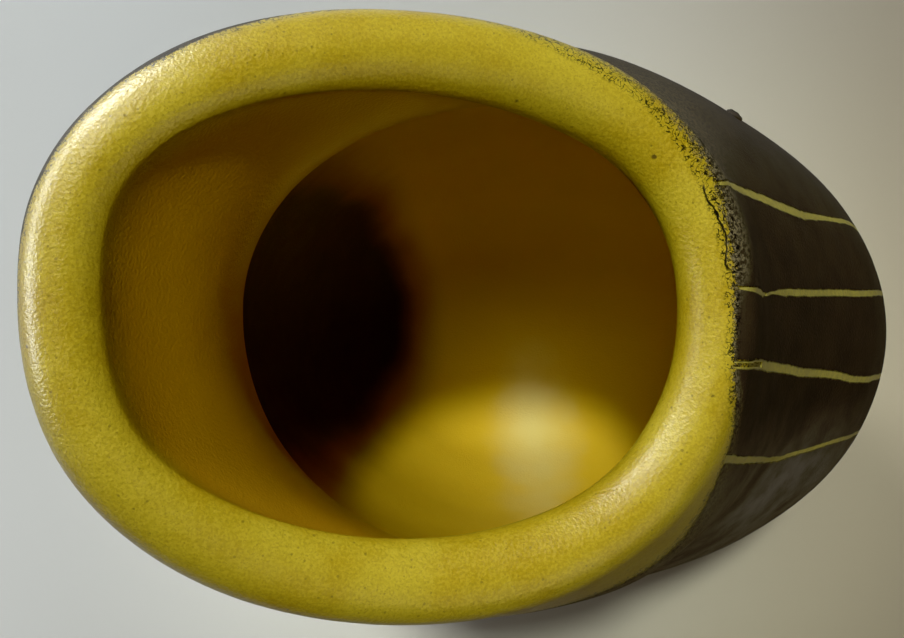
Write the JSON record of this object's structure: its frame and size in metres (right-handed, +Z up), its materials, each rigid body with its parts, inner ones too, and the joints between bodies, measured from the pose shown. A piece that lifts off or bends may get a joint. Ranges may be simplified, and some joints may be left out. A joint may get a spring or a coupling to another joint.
{
  "type": "earthenware vase",
  "caption": "Free-form earthenware vase with a swelling belly, an oblique mouth with a thick rolled lip, yellow glaze inside and a dark matt outside with scratched lines.",
  "frame": {"origin": "on the table under the middle of the vase's bounding box", "axes": "+Z up, +X towards the belly's swell and the low side of the mouth, -X towards the high side of the mouth, +Y across"},
  "size_m": [0.139, 0.1012, 0.1935],
  "materials": {
    "clay": "bare fired earthenware, matt",
    "yellow_glaze": "speckled satin-gloss yellow glaze",
    "dark_glaze": "dark brown-black matt glaze",
    "line_glaze": "pale yellow matt glaze in scratched grooves"
  },
  "bodies": {
    "root": {"base_dish": "clay", "wall_shell": "clay", "lip_roll": "clay", "liner_glaze": "yellow_glaze", "outer_glaze": "dark_glaze", "scratch_line_1": "line_glaze", "scratch_line_2": "line_glaze", "scratch_line_3": "line_glaze", "scratch_line_4": "line_glaze"}
  },
  "joints": []
}
